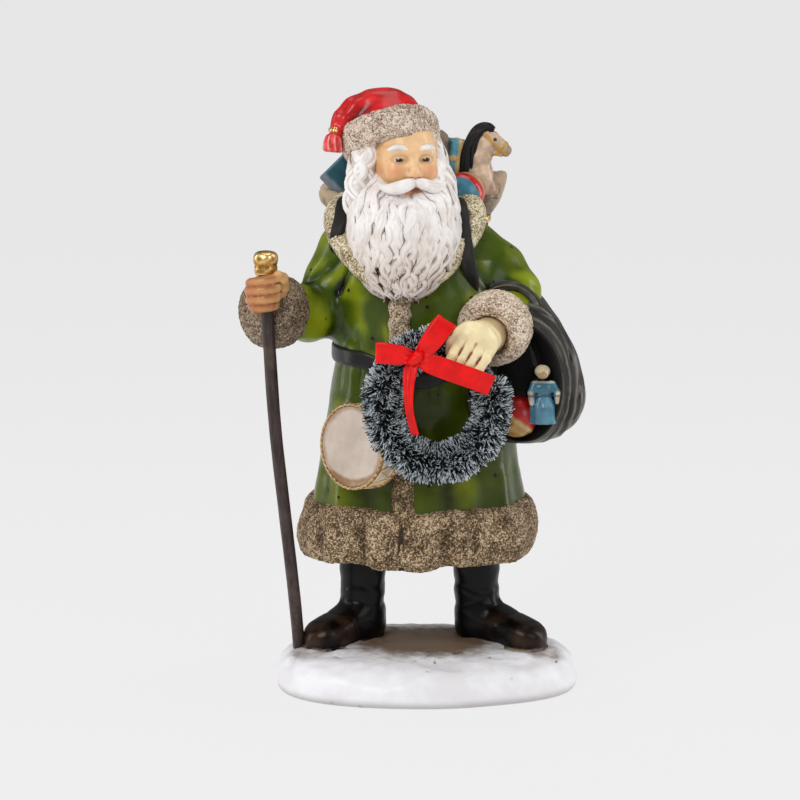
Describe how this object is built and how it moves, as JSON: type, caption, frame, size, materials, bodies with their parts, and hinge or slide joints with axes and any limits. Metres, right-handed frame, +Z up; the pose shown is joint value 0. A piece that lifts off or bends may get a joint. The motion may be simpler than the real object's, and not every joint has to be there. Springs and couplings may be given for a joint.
{
  "type": "santa figurine",
  "caption": "Standing Father Christmas statuette on a snow mound, with staff, toy sacks, drum and a bristle wreath with a ribbon bow.",
  "frame": {"origin": "on the flat underside of the mound, under the middle of the figure", "axes": "+Z up; the figure faces -Y, and +X is its left hand side"},
  "size_m": [0.171, 0.124, 0.2996],
  "materials": {
    "coat_green": "glossy olive green paint, darker and brown in the folds",
    "fur_trim": "cream fur texture washed with brown",
    "beard_white": "satin white paint, brown in the grooves",
    "skin": "satin skin tone with warm shading",
    "hat_red": "glossy red paint",
    "boot_black": "glossy black paint rubbed brown at the toes",
    "snow": "satin white paint with brown shading",
    "gold_paint": "gold paint",
    "drum_skin": "cream paint",
    "sack_grey": "glossy charcoal paint with pale streaks",
    "sack_brown": "grey brown paint",
    "toy_blue": "dusty blue paint",
    "toy_red": "red paint",
    "horse_tan": "cream and tan paint",
    "staff_brown": "dark brown paint",
    "bristles": "dark green bristles with frosted tips",
    "red_ribbon": "satin"
  },
  "bodies": {
    "root": {"figure": "coat_green", "staff": "staff_brown", "wreath": "bristles", "ribbon_bow": "red_ribbon"}
  },
  "joints": []
}
